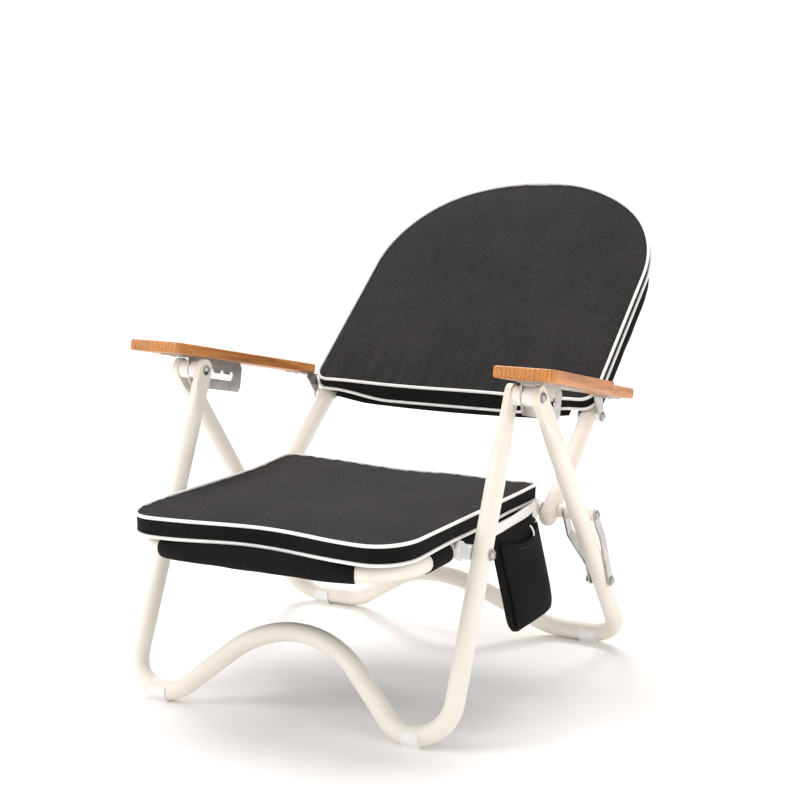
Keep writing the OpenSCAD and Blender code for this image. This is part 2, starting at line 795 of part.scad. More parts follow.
rear_leg_frame();
rear_foot_clips();
leg_pivot_bolts_outer();
link_pivot_bolts();
front_leg_frame();
front_foot_clips();
leg_pivot_bolts_inner();
seat_pivot_spacers();
seat_pivot_bolts();
inner_links();
outer_links();
hinge_spacers();
hinge_bolts();
seat_frame();
seat_cross_bar();
seat_sling();
seat_sling_sleeves();
seat_cushion();
seat_pivot_studs();
hinge_washers();
pocket_pouch();
pocket_patch();
pocket_tape();
pocket_tab();
seat_ties();
hinge_stubs();
back_frame();
back_end_caps();
back_sling();
back_sling_sleeve();
back_cushion();
arm_pivot_spacers();
arm_pivot_bolts();
leg_spacers_inner();
leg_spacers_outer();
arm_board_left();
arm_board_right();
arm_brackets();
bracket_screws();
arm_rear_brackets();
rear_bracket_screws();
arm_pivot_heads();
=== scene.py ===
import json
import math

import bpy
import numpy as np
from mathutils import Matrix, Vector
from mathutils.kdtree import KDTree


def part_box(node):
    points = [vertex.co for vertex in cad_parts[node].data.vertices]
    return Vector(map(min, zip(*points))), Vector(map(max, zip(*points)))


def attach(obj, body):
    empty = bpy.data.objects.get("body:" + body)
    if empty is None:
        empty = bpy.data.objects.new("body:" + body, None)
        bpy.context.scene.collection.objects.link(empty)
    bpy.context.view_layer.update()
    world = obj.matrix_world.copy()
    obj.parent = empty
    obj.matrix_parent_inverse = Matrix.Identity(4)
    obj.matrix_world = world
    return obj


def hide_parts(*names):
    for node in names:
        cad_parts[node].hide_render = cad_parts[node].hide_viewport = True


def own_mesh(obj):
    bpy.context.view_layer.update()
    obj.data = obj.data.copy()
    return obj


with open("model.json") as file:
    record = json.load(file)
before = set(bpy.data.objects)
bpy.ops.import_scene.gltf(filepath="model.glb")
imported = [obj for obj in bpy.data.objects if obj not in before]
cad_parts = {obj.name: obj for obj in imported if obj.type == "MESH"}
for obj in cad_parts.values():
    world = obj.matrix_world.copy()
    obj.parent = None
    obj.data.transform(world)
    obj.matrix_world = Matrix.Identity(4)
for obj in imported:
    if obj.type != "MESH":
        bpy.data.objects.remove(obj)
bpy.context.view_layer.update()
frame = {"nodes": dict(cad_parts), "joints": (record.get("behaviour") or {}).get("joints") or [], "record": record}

# Folding lounge chair. Metres; +X is the sitter's left, -Y the front, +Z up.
# Local frames: "seat" is the row frame; "back" is (x, s, n), with s up the back
# tubes from the hinge and n forward of them; "arm" is (x, a, b), with a down the
# arm to the rear and b square to the board.

MM = 0.001
PIPING_R = 2.5 * MM
SEAM_STEP = 6 * MM


# ---- places, from the frame ----

def joint_point(name):
    found = [j for j in frame["joints"] if j["name"] == name][0]
    return Vector(found["pos_m"])


def centre(node):
    low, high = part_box(node)
    return (low + high) / 2


def local_frame(origin, along, normal):
    """Matrix with local X, Y (along) and Z (normal) in the row frame."""
    turn = Matrix((Vector((1, 0, 0)), along, normal)).transposed().to_4x4()
    return Matrix.Translation(origin) @ turn


HINGE = joint_point("seat_fold")
back_pin = centre("arm_pivot_heads")
back_up = Vector((0, back_pin.y - HINGE.y, back_pin.z - HINGE.z)).normalized()
back_out = Vector((0, -back_up.z, back_up.y))
BACK = local_frame(HINGE, back_up, back_out)
slide = [j for j in frame["joints"] if j["name"] == "arm_slide"][0]["axis"]
arm_down = -Vector(slide)
ROW = Matrix.Identity(4)

seat_low, seat_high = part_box("seat_frame")
TUBE_R = (seat_high.z - seat_low.z) / 2
SEAT_Z = (seat_high.z + seat_low.z) / 2
SEAT_TUBE_X = seat_high.x - TUBE_R
SEAT_FRONT_Y = seat_low.y + TUBE_R
SEAT_CORNER_R = 95 * MM
BACK_TUBE_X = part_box("back_frame")[1].x - TUBE_R
BACK_ARCH_R = 218 * MM
back_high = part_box("back_frame")[1]
BACK_TOP_S = (BACK.inverted() @ Vector((0, back_high.y, back_high.z))).y - TUBE_R * (back_up.y + back_up.z)


# ---- materials ----

class Shader:
    """A Principled material built up node by node."""

    def __init__(self, name, color, rough, **sockets):
        self.material = bpy.data.materials.new(name)
        self.material.use_nodes = True
        self.tree = self.material.node_tree
        self.bsdf = self.tree.nodes["Principled BSDF"]
        self.bsdf.inputs["Base Color"].default_value = (*color, 1)
        self.bsdf.inputs["Roughness"].default_value = rough
        self.material.diffuse_color = (*color, 1)
        for socket, value in sockets.items():
            self.bsdf.inputs[socket.replace("_", " ")].default_value = value

    def node(self, kind, **values):
        made = self.tree.nodes.new(kind)
        for name, value in values.items():
            if hasattr(made, name):
                setattr(made, name, value)
            else:
                made.inputs[name.replace("_", " ")].default_value = value
        return made

    def link(self, a, b):
        self.tree.links.new(a, b)

    def place(self, scale=(1, 1, 1), turn=(0, 0, 0)):
        """Object coordinates in metres, turned and scaled."""
        coords = self.node("ShaderNodeTexCoord")
        mapping = self.node("ShaderNodeMapping", Scale=scale, Rotation=turn)
        self.link(coords.outputs["Object"], mapping.inputs["Vector"])
        return mapping.outputs["Vector"]

    def noise(self, place, scale, detail=3, rough=0.6):
        made = self.node("ShaderNodeTexNoise", Scale=scale, Detail=detail, Roughness=rough)
        self.link(place, made.inputs["Vector"])
        return made.outputs["Fac"]

    def ramp(self, value, *stops):
        """Colour ramp: stops are (position, colour)."""
        made = self.node("ShaderNodeValToRGB")
        elements = made.color_ramp.elements
        while len(elements) < len(stops):
            elements.new(1)
        for element, (position, color) in zip(elements, stops):
            element.position = position
            element.color = (*color, 1)
        self.link(value, made.inputs["Fac"])
        return made.outputs["Color"]

    def mix(self, kind, a, b, amount=1.0):
        made = self.node("ShaderNodeMix", data_type="RGBA", blend_type=kind)
        made.inputs["Factor"].default_value = amount
        self.link(a, made.inputs["A"])
        self.link(b, made.inputs["B"])
        return made.outputs["Result"]

    def maths(self, operation, a, b):
        made = self.node("ShaderNodeMath", operation=operation)
        for socket, value in zip(made.inputs, (a, b)):
            if isinstance(value, (int, float)):
                socket.default_value = value
            else:
                self.link(value, socket)
        return made.outputs["Value"]

    def rough_from(self, value, low, high):
        made = self.node("ShaderNodeMapRange", To_Min=low, To_Max=high)
        self.link(value, made.inputs["Value"])
        self.link(made.outputs["Result"], self.bsdf.inputs["Roughness"])

    def bump(self, value, distance, strength=1.0):
        made = self.node("ShaderNodeBump", Distance=distance, Strength=strength)
        previous = self.bsdf.inputs["Normal"].links
        if previous:
            self.link(previous[0].from_socket, made.inputs["Normal"])
        self.link(value, made.inputs["Height"])
        self.link(made.outputs["Normal"], self.bsdf.inputs["Normal"])

    def color(self, value):
        self.link(value, self.bsdf.inputs["Base Color"])


def weave(shader, place, thread):
    """Plain weave: crossing threads of one pitch, as a height from 0 to 1."""
    waves = []
    for axis in ("X", "Y"):
        made = shader.node("ShaderNodeTexWave", bands_direction=axis, Scale=math.pi / thread / 10)
        shader.link(place, made.inputs["Vector"])
        waves.append(made.outputs["Fac"])
    return shader.maths("MAXIMUM", *waves)


def canvas_material(name, color, thread=0.9 * MM, turn=(0, 0, 0)):
    """Woven outdoor canvas: crossing threads, slubs and faint fading."""
    made = Shader(name, color, 0.95, Sheen_Weight=0.015, Sheen_Roughness=0.5)
    made.bsdf.inputs["Specular IOR Level"].default_value = 0.07
    place = made.place(turn=turn)
    threads = weave(made, place, thread)
    slub = made.noise(made.place((1, 0.16, 1), turn), 1150, 3, 0.6)
    slub_across = made.noise(made.place((0.16, 1, 1), turn), 1150, 3, 0.6)
    fleck = made.maths("MULTIPLY", slub, slub_across)
    light = tuple(min(1.0, 1.75 * c + 0.003) for c in color)
    dark = tuple(0.66 * c for c in color)
    yarn = made.ramp(fleck, (0.16, dark), (0.25, color), (0.40, light))
    fade = made.ramp(made.noise(place, 9, 3), (0.35, (0.86, 0.86, 0.86)), (0.65, (1.1, 1.09, 1.08)))
    made.color(made.mix("MULTIPLY", yarn, fade))
    made.rough_from(slub, 0.82, 0.97)
    made.bump(threads, 0.25 * MM, 0.5)
    made.bump(made.noise(place, 60, 4), 0.7 * MM, 0.35)
    return made.material


def tape_material():
    """White ribbed binding tape and piping."""
    made = Shader("white_tape", (0.86, 0.845, 0.82), 0.75, Sheen_Weight=0.1)
    place = made.place()
    rib = made.node("ShaderNodeTexWave", bands_direction="DIAGONAL", Scale=180, Distortion=1.5)
    made.link(place, rib.inputs["Vector"])
    tone = made.ramp(made.noise(place, 120, 4), (0.3, (0.80, 0.785, 0.76)), (0.7, (0.90, 0.89, 0.87)))
    made.color(tone)
    made.bump(rib.outputs["Fac"], 0.2 * MM, 0.5)
    return made.material


def thread_material():
    """Dark grey sewing thread with a faint twist."""
    made = Shader("thread", (0.07, 0.065, 0.062), 0.6)
    place = made.place()
    made.color(made.ramp(made.noise(place, 900, 2), (0.3, (0.05, 0.046, 0.044)), (0.7, (0.10, 0.095, 0.09))))
    return made.material


def paint_material():
    """Satin powder coat, warm off-white, with fine texture and handling marks."""
    made = Shader("cream_paint", (0.85, 0.78, 0.665), 0.42)
    made.bsdf.inputs["Specular IOR Level"].default_value = 0.42
    place = made.place()
    tone = made.ramp(made.noise(place, 6, 4), (0.3, (0.815, 0.755, 0.67)), (0.7, (0.865, 0.81, 0.73)))
    marks = made.ramp(made.noise(place, 45, 6, 0.75), (0.30, (0.93, 0.92, 0.90)), (0.42, (1, 1, 1)))
    made.color(made.mix("MULTIPLY", tone, marks, 0.8))
    made.rough_from(made.noise(place, 30, 4), 0.34, 0.52)
    made.bump(made.noise(place, 2200, 3), 0.06 * MM, 0.5)
    made.bump(made.noise(place, 260, 3), 0.05 * MM, 0.4)
    return made.material


def nylon_material():
    """Moulded white nylon with a faint mould texture and scuffs."""
    made = Shader("nylon", (0.86, 0.85, 0.845), 0.38, Subsurface_Weight=0.15, Subsurface_Scale=0.002)
    place = made.place()
    made.color(made.ramp(made.noise(place, 90, 5), (0.3, (0.80, 0.78, 0.77)), (0.62, (0.89, 0.88, 0.875))))
    made.rough_from(made.noise(place, 150, 4), 0.3, 0.5)
    made.bump(made.noise(place, 1200, 3), 0.05 * MM, 0.5)
    return made.material


def steel_material(name, color, turn, rough=(0.28, 0.48)):
    """Satin sheet steel: fine brushing along local X, smudges and spots."""
    made = Shader(name, color, 0.35, Metallic=1.0, Anisotropic=0.35)
    streak = made.noise(made.place((0.04, 1, 1), turn), 1800, 4, 0.7)
    place = made.place()
    smudge = made.noise(place, 55, 5)
    light = tuple(min(1.0, 1.12 * c) for c in color)
    dark = tuple(0.72 * c for c in color)
    made.color(made.mix("MULTIPLY", made.ramp(streak, (0.3, dark), (0.7, light)),
                        made.ramp(smudge, (0.32, (0.72, 0.70, 0.69)), (0.6, (1, 1, 1)))))
    made.rough_from(smudge, *rough)
    made.bump(streak, 0.03 * MM, 0.35)
    return made.material


def teak_material(name, turn, offset):
    """Oiled teak: straight grain along the board and pores."""
    made = Shader(name, (0.55, 0.26, 0.08), 0.42, Coat_Weight=0.12, Coat_Roughness=0.35)
    coords = made.node("ShaderNodeTexCoord")
    turned = made.node("ShaderNodeMapping", Rotation=turn, Location=offset)
    made.link(coords.outputs["Object"], turned.inputs["Vector"])
    grain_place = made.node("ShaderNodeMapping", Scale=(1, 0.05, 1))
    made.link(turned.outputs["Vector"], grain_place.inputs["Vector"])
    place = grain_place.outputs["Vector"]
    wander = made.noise(place, 30, 3)
    rings = made.node("ShaderNodeTexWave", bands_direction="X", Scale=26, Distortion=5.5, Detail=3,
                      Detail_Scale=1.6)
    made.link(place, rings.inputs["Vector"])
    band = made.ramp(rings.outputs["Fac"], (0.0, (0.60, 0.238, 0.052)), (0.45, (0.50, 0.178, 0.035)),
                     (0.62, (0.37, 0.118, 0.020)), (1.0, (0.63, 0.268, 0.062)))
    patch = made.ramp(wander, (0.3, (0.80, 0.78, 0.75)), (0.7, (1.18, 1.16, 1.12)))
    body = made.mix("MULTIPLY", band, patch)
    pores = made.ramp(made.noise(place, 620, 4, 0.75), (0.36, (0.50, 0.42, 0.36)), (0.46, (1, 1, 1)))
    body = made.mix("MULTIPLY", body, pores, 0.75)
    made.color(body)
    made.rough_from(made.noise(place, 200, 4), 0.34, 0.56)
    made.bump(made.noise(place, 620, 4, 0.75), 0.12 * MM, 0.35)
    return made.material


ARM_TURN = (-math.atan2(arm_down.z, arm_down.y), 0, 0)
CANVAS = canvas_material("canvas", (0.0285, 0.0265, 0.0258))
# Dark canvas for the slings, sleeves and pocket; on the cushions' boxing bands it is also used as painted shade.
CANVAS_DARK_AND_BAND_SHADE = canvas_material("dark_canvas_and_painted_band_shade", (0.010, 0.0095, 0.0092), 0.7 * MM)
THREAD = thread_material()
TAPE = tape_material()
PAINT = paint_material()
NYLON = nylon_material()
STEEL = steel_material("steel", (0.62, 0.60, 0.57), (0, 0, math.pi / 2))
BOLTS = steel_material("bolt_steel", (0.52, 0.50, 0.475), (0, 0, 0), (0.25, 0.45))
TEAK_LEFT = teak_material("teak_left", ARM_TURN, (0.013, 0.4, 0))
TEAK_RIGHT = teak_material("teak_right", ARM_TURN, (0.031, 0, 0.02))
SLOT_MATERIALS = {"cream_paint": PAINT, "canvas": CANVAS, "tape": TAPE, "steel": STEEL,
                  "bolt_steel": BOLTS, "nylon": NYLON, "teak": TEAK_LEFT}


def finish_cad_nodes():
    for row in frame["record"]["subparts"]:
        node = frame["nodes"][row["node"]]
        node.data.materials.clear()
        node.data.materials.append(SLOT_MATERIALS[row["material_slot"]])
    frame["nodes"]["arm_board_right"].data.materials[0] = TEAK_RIGHT


# ---- mesh helpers ----

def piece(name, points, faces, material, body, place=ROW, smooth=True):
    """A mesh piece from local points, riding on a body."""
    mesh = bpy.data.meshes.new(name)
    mesh.from_pydata([tuple(p) for p in points], [], [tuple(f) for f in faces])
    mesh.materials.append(material)
    mesh.polygons.foreach_set("use_smooth", [smooth] * len(mesh.polygons))
    made = bpy.data.objects.new(name, mesh)
    made.matrix_world = place
    bpy.context.scene.collection.objects.link(made)
    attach(made, body)
    return made


def rings_to_faces(rows, count, closed_rows=False, start=0):
    """Quads between successive closed rings of count points."""
    faces = []
    for j in range(rows if closed_rows else rows - 1):
        a, b = start + j * count, start + ((j + 1) % rows) * count
        faces += [(a + i, a + (i + 1) % count, b + (i + 1) % count, b + i) for i in range(count)]
    return faces


def resample(points, step, closed=True):
    """Points spaced evenly along a line."""
    points = np.array(points, float)
    if closed:
        points = np.vstack([points, points[:1]])
    along = np.concatenate([[0], np.cumsum(np.linalg.norm(np.diff(points, axis=0), axis=1))])
    count = max(8, round(along[-1] / step))
    wanted = np.linspace(0, along[-1], count + (0 if closed else 1), endpoint=not closed)
    return np.stack([np.interp(wanted, along, points[:, k]) for k in range(points.shape[1])], axis=1)


def rounded(corners, radii, arc_steps=14):
    """Closed outline through 2-D corners, each rounded to its radius."""
    made = []
    for i, (corner, radius) in enumerate(zip(corners, radii)):
        corner = np.array(corner, float)
        u = np.array(corners[i - 1], float) - corner
        w = np.array(corners[(i + 1) % len(corners)], float) - corner
        u, w = u / np.linalg.norm(u), w / np.linalg.norm(w)
        half = math.acos(float(np.clip(u @ w, -1, 1))) / 2
        middle = corner + (u + w) / np.linalg.norm(u + w) * radius / math.sin(half)
        start = corner + u * radius / math.tan(half) - middle
        end = corner + w * radius / math.tan(half) - middle
        a0 = math.atan2(start[1], start[0])
        turn = math.atan2(start[0] * end[1] - start[1] * end[0], start @ end)
        for k in range(arc_steps + 1):
            a = a0 + turn * k / arc_steps
            made.append(middle + radius * np.array([math.cos(a), math.sin(a)]))
    return np.array(made)


def tube(name, line, radius, material, body, place=ROW, closed=True, sides=10):
    """A round cord of fabric or wire swept along a 3-D line of local points."""
    line = np.array(line, float)
    n = len(line)
    if closed:
        tangent = np.roll(line, -1, 0) - np.roll(line, 1, 0)
    else:
        tangent = np.gradient(line, axis=0)
    tangent /= np.linalg.norm(tangent, axis=1)[:, None]
    side = np.cross(tangent, [0.0, 0.0, 1.0])
    weak = np.linalg.norm(side, axis=1) < 0.2
    side[weak] = np.cross(tangent[weak], [1.0, 0.0, 0.0])
    side /= np.linalg.norm(side, axis=1)[:, None]
    up = np.cross(side, tangent)
    angle = np.linspace(0, 2 * math.pi, sides, endpoint=False)
    rings = line[:, None] + radius * (np.cos(angle)[None, :, None] * side[:, None]
                                      + np.sin(angle)[None, :, None] * up[:, None])
    faces = rings_to_faces(n, sides, closed_rows=closed)
    if not closed:
        faces += [tuple(range(sides))[::-1], tuple(range((n - 1) * sides, n * sides))]
    return piece(name, rings.reshape(-1, 3), faces, material, body, place)


def smoothstep(x, low, high):
    t = np.clip((np.asarray(x, float) - low) / (high - low), 0, 1)
    return t * t * (3 - 2 * t)


# ---- cushions ----

def boxed_form(front, rear, crown, band_rows=3, inner_rings=20):
    """Closed form between two seam lines of equal length: crowned front panel, band, rear panel.
    Returns points and faces."""
    n = len(front)
    middle = front[:, :2].mean(0)

    def panel(seam, lift):
        rings = []
        for j in range(1, inner_rings + 1):
            t = 1 - j / (inner_rings + 1)
            ring = seam.copy()
            ring[:, :2] = middle + (seam[:, :2] - middle) * t
            depth = seam[:, 2].mean() * (1 - t) + seam[:, 2] * t
            ring[:, 2] = depth + lift * (1 - t ** 5)
            rings.append(ring)
        return rings

    rows = panel(front, crown)[::-1] + [front]
    for k in range(1, band_rows + 1):
        t = k / (band_rows + 1)
        rows.append(front * (1 - t) + rear * t)
    rows += [rear] + panel(rear, 0)
    points = np.concatenate(rows)
    faces = rings_to_faces(len(rows), n)
    faces += [tuple(range(n))[::-1], tuple(range(len(points) - n, len(points)))]
    return points, faces


def puffed(made, front, rear, voxel, cap, pressure=4.0, seed_steps=20):
    """Voxel remesh, then cloth under pressure with the two seams held, each point moving at most cap."""
    made.data.remesh_voxel_size = voxel
    bpy.context.view_layer.objects.active = made
    made.select_set(True)
    bpy.ops.object.voxel_remesh()
    made.select_set(False)
    rest = np.array([v.co for v in made.data.vertices], float)
    held = near_line(rest, np.concatenate([front, rear]), 0.55 * voxel)
    group = made.vertex_groups.new(name="seams")
    group.add([int(i) for i in np.nonzero(held)[0]], 1.0, "REPLACE")
    cloth = made.modifiers.new("Cloth", "CLOTH")
    cloth.settings.quality = 5
    cloth.settings.mass = 0.3
    cloth.settings.tension_stiffness = 12
    cloth.settings.compression_stiffness = 12
    cloth.settings.bending_stiffness = 0.6
    cloth.settings.vertex_group_mass = "seams"
    cloth.settings.use_pressure = True
    cloth.settings.uniform_pressure_force = pressure
    cloth.settings.effector_weights.gravity = 0
    cloth.collision_settings.use_collision = False
    for step in range(1, seed_steps + 1):
        bpy.context.scene.frame_set(step)
    shown = made.evaluated_get(bpy.context.evaluated_depsgraph_get())
    moved = np.array([v.co for v in shown.data.vertices], float) - rest
    made.modifiers.remove(cloth)
    bpy.context.scene.frame_set(1)
    size = np.linalg.norm(moved, axis=1)[:, None]
    rest += moved * np.minimum(1, cap / np.maximum(size, 1e-9))
    made.vertex_groups.clear()
    return rest


def near_line(points, line, distance):
    """Which points lie within distance of a line's points."""
    tree = KDTree(len(line))
    for i, p in enumerate(line):
        tree.insert(p, i)
    tree.balance()
    return np.array([tree.find(p)[2] < distance for p in points])


def settle(made, points):
    """Takes the points, smooths once and paints shade on the boxing band: its upright faces get the darker,
    tighter-woven canvas as painted shade.
    """
    made.data.vertices.foreach_set("co", np.asarray(points, np.float32).ravel())
    made.data.update()
    # Second slot: the darker canvas, used as painted shade on the band's upright faces.
    made.data.materials.append(CANVAS_DARK_AND_BAND_SHADE)
    subdivide = made.modifiers.new("Smooth", "SUBSURF")
    subdivide.levels = subdivide.render_levels = 1
    bpy.context.view_layer.objects.active = made
    bpy.ops.object.modifier_apply(modifier="Smooth")
    faces = made.data.polygons
    faces.foreach_set("use_smooth", [True] * len(faces))
    # Painted shade: faces that stand near upright get the darker canvas, in place of the shade that falls on the
    # cushion's sides.
    faces.foreach_set("material_index", [1 if abs(face.normal.z) < 0.66 else 0 for face in faces])


def puckers(along, depth, pitch, reach, height, phase=0.0):
    """Gathers square to a seam: along runs along it, depth away from it."""
    wave = (np.sin(2 * math.pi * along / pitch + phase)
            + 0.6 * np.sin(2 * math.pi * along / (pitch * 0.61) + 2.1 * phase)
            + 0.5 * np.sin(2 * math.pi * along / (pitch * 2.3) + 0.7 + phase))
    return height * wave * np.exp(-depth / reach) * smoothstep(depth, 0, 6 * MM)


SEAT_TOP_FRONT = 296 * MM
SEAT_TOP_REAR = 292 * MM
SEAT_HALF = 224 * MM


def rear_lift(x, y, rear):
    """The pad rides up a little at the sitter's right rear corner."""
    return 6 * MM * smoothstep(y, rear - 130 * MM, rear) * smoothstep(-x, 60 * MM, 200 * MM)


def seat_seams():
    """The seat cushion's top and bottom seam lines in the row frame."""
    low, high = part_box("seat_cushion")
    front, rear = low.y - 3 * MM, high.y - 1 * MM
    outline = resample(rounded(
        [(-SEAT_HALF, front), (SEAT_HALF, front), (SEAT_HALF - 2 * MM, rear), (-SEAT_HALF + 2 * MM, rear)],
        [54 * MM, 54 * MM, 13 * MM, 13 * MM]), SEAM_STEP)
    x, y = outline[:, 0], outline[:, 1]
    near_front = 1 - smoothstep(y, front, front + 60 * MM)
    bow = 11 * MM * np.cos(np.pi * np.clip(x / (190 * MM), -1, 1)) - 2 * MM
    wave = 1.6 * MM * np.sin(x / (34 * MM) + 0.8)
    y = y + near_front * (bow + wave)
    x = x + 9 * MM * (1 - smoothstep(y, front, front + 150 * MM)) * smoothstep(-x, 110 * MM, SEAT_HALF)
    share = (y - front) / (rear - front)
    top = np.stack([x, y, SEAT_TOP_FRONT + (SEAT_TOP_REAR - SEAT_TOP_FRONT) * share], axis=1)
    bottom = np.stack([x * 0.996, y, np.full_like(x, low.z + 2.2 * MM)], axis=1)
    top[:, 2] += rear_lift(x, y, rear)
    ripple = 0.9 * MM * np.sin(np.arange(len(x)) * SEAM_STEP / (27 * MM))
    top[:, 2] += ripple * smoothstep(y, rear - 90 * MM, rear)
    bottom[:, 2] += 0.6 * MM * np.sin(np.arange(len(x)) * SEAM_STEP / (31 * MM) + 1)
    return top, bottom


def seat_cushion():
    top, bottom = seat_seams()
    points, faces = boxed_form(top, bottom, 3 * MM)
    made = piece("seat_pad", points, faces, CANVAS, "seat")
    co = puffed(made, top, bottom, 5 * MM, 7 * MM)
    floor_z = bottom[:, 2].min() - 1.6 * MM
    co[:, 2] = np.maximum(co[:, 2], floor_z)
    upper = smoothstep(co[:, 2], SEAT_TOP_REAR - 8 * MM, SEAT_TOP_REAR + 2 * MM)
    rear = top[:, 1].max()
    gather = puckers(co[:, 0], rear - co[:, 1], 27 * MM, 34 * MM, 1.5 * MM)
    side = puckers(co[:, 1], SEAT_HALF - np.abs(co[:, 0]), 36 * MM, 18 * MM, 0.9 * MM, 1.3)
    co[:, 2] += upper * (gather + side)
    soft = (np.sin(co[:, 0] / (71 * MM) + 1) * np.sin(co[:, 1] / (58 * MM)) * 0.8
            + np.sin(co[:, 0] / (33 * MM) + co[:, 1] / (47 * MM)) * 0.35) * MM
    co[:, 2] += upper * soft
    settle(made, co)
    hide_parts("seat_cushion")
    for name, seam in (("seat_piping_top", top), ("seat_piping_bottom", bottom)):
        tube(name, seam_outward(seam, 0.4 * MM), PIPING_R, TAPE, "seat")
    return made


def seam_outward(seam, distance):
    """A seam line moved outward in plan."""
    tangent = np.roll(seam, -1, 0) - np.roll(seam, 1, 0)
    out = np.stack([tangent[:, 1], -tangent[:, 0]], axis=1)
    out /= np.linalg.norm(out, axis=1)[:, None]
    moved = seam.copy()
    moved[:, :2] += out * distance
    return moved


BACK_HALF = 254 * MM
BACK_FRONT_N = 36.5 * MM
BACK_CORNER_R = 22 * MM


def back_outline(bottom_s, half, arch_r, top_s, corner_r):
    """Arch outline in (x, s): two rounded bottom corners, straight sides, two quarter arcs."""
    arch_s = top_s - arch_r
    arch_x = half - arch_r
    line = [(-half + corner_r - corner_r * math.sin(a), bottom_s + corner_r - corner_r * math.cos(a))
            for a in np.linspace(math.pi / 2, 0, 10)]
    line += [(half - corner_r + corner_r * math.sin(a), bottom_s + corner_r - corner_r * math.cos(a))
             for a in np.linspace(0, math.pi / 2, 10)]
    line += [(arch_x + arch_r * math.cos(a), arch_s + arch_r * math.sin(a))
             for a in np.linspace(0, math.pi / 2, 40)]
    line += [(-arch_x + arch_r * math.cos(a), arch_s + arch_r * math.sin(a))
             for a in np.linspace(math.pi / 2, math.pi, 40)]
    return resample(line, SEAM_STEP)


def back_seams():
    """The back cushion's front and rear seam lines, in (x, s, n)."""
    top_s = 722 * MM
    outline = back_outline(201 * MM, BACK_HALF, 230 * MM, top_s, BACK_CORNER_R)
    x, s = outline[:, 0], outline[:, 1]
    low = 1 - smoothstep(s, 201 * MM, 320 * MM)
    arch = smoothstep(s, 560 * MM, 700 * MM)
    dip = 1.8 * MM * np.sin(x / (38 * MM) + 0.9)
    middle = 1 - smoothstep(np.abs(x), 110 * MM, 225 * MM)
    front = np.stack([x, s + arch * dip - low * middle * 2 * MM, np.full_like(x, BACK_FRONT_N)], axis=1)
    front[:, 2] += low * 0.8 * MM * np.sin(x / (41 * MM))
    drop = (7 + 7 * middle) * MM * (1 - smoothstep(s, 201 * MM, 240 * MM))
    depth = (15.7 + 12 * low * middle) * MM
    rear = np.stack([x * 1.004, s - drop + arch * dip * 0.6, BACK_FRONT_N - depth], axis=1)
    return front, rear


def back_cushion():
    front, rear = back_seams()
    points, faces = boxed_form(front, rear, 2.5 * MM)
    made = piece("back_pad", points, faces, CANVAS, "back", BACK)
    co = puffed(made, front, rear, 5 * MM, 6 * MM)
    rear_limit = np.interp(np.abs(co[:, 0]), [0.0, 0.18, 0.215], [6 * MM, 8 * MM, 16.6 * MM])
    co[:, 2] = np.maximum(co[:, 2], rear_limit)
    upper = smoothstep(co[:, 2], BACK_FRONT_N - 6 * MM, BACK_FRONT_N + 1 * MM)
    depth = co[:, 1] - front[:, 1].min()
    gather = puckers(co[:, 0], depth, 31 * MM, 42 * MM, 1.5 * MM, 0.6)
    soft = (np.sin(co[:, 0] / (83 * MM) + 2) * np.sin(co[:, 1] / (66 * MM)) * 0.9
            + np.sin(co[:, 0] / (39 * MM) - co[:, 1] / (52 * MM)) * 0.3) * MM
    co[:, 2] += upper * (gather + soft)
    settle(made, co)
    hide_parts("back_cushion")
    for name, seam in (("back_piping_front", front), ("back_piping_rear", rear)):
        tube(name, seam_outward(seam, 1.2 * MM), PIPING_R, TAPE, "back", BACK)
    return made


# ---- thin cloth: slings, sleeves and the side pocket ----

def two_sided(top, low):
    """Points and faces of a closed form between two grids of points of the same shape."""
    rows, cols = top.shape[:2]
    half = rows * cols
    faces = []
    for i in range(rows - 1):
        for j in range(cols - 1):
            a, b = i * cols + j, i * cols + j + 1
            c, d = b + cols, a + cols
            faces += [(a, b, c, d), (half + a, half + d, half + c, half + b)]
    rim = list(range(cols)) + [i * cols + cols - 1 for i in range(1, rows)]
    rim += [(rows - 1) * cols + j for j in range(cols - 2, -1, -1)]
    rim += [i * cols for i in range(rows - 2, 0, -1)]
    faces += [(b, a, half + a, half + b) for a, b in zip(rim, rim[1:] + rim[:1])]
    return np.concatenate([top.reshape(-1, 3), low.reshape(-1, 3)]), faces


def cloth_slab(name, grid, thick, material, body, place=ROW):
    """A closed thin slab from a grid of top points, thick below them along the grid's normals."""
    grid = np.asarray(grid, float)
    normal = np.cross(np.gradient(grid, axis=1), np.gradient(grid, axis=0))
    normal /= np.maximum(np.linalg.norm(normal, axis=2)[..., None], 1e-12)
    points, faces = two_sided(grid - normal * thick, grid)
    return piece(name, points, faces, material, body, place)


def sleeve(name, line, radius, body, place=ROW, low_end=None):
    """Canvas sleeve round a frame tube: a loose skin along its centre line, turned in at its ends."""
    line = np.array(line, float)
    n = len(line)
    sides = 36
    tangent = np.gradient(line, axis=0)
    tangent /= np.linalg.norm(tangent, axis=1)[:, None]
    up = np.array([0.0, 0.0, 1.0])
    side = np.cross(tangent, up)
    side /= np.linalg.norm(side, axis=1)[:, None]
    along = np.concatenate([[0], np.cumsum(np.linalg.norm(np.diff(line, axis=0), axis=1))])
    angle = np.linspace(0, 2 * math.pi, sides, endpoint=False)
    crease = 0.45 * MM * (np.sin(along[:, None] / (13 * MM) + 2.2 * np.sin(angle)[None])
                          * np.sin(along[:, None] / (41 * MM) + angle[None]))
    reach = (radius + crease)[..., None]
    turned = np.cos(angle)[None, :, None] * side[:, None] + np.sin(angle)[None, :, None] * up
    rings = line[:, None] + reach * turned
    if low_end is not None:
        rings = low_end(rings, along)
    inner = TUBE_R + 0.15 * MM

    def turned_in(k):
        spoke = rings[k] - line[k]
        return line[k] + spoke * inner / np.linalg.norm(spoke, axis=1)[:, None]

    points = np.concatenate([turned_in(0), rings.reshape(-1, 3), turned_in(-1)])
    return piece(name, points, rings_to_faces(n + 2, sides), CANVAS_DARK_AND_BAND_SHADE, body, place)


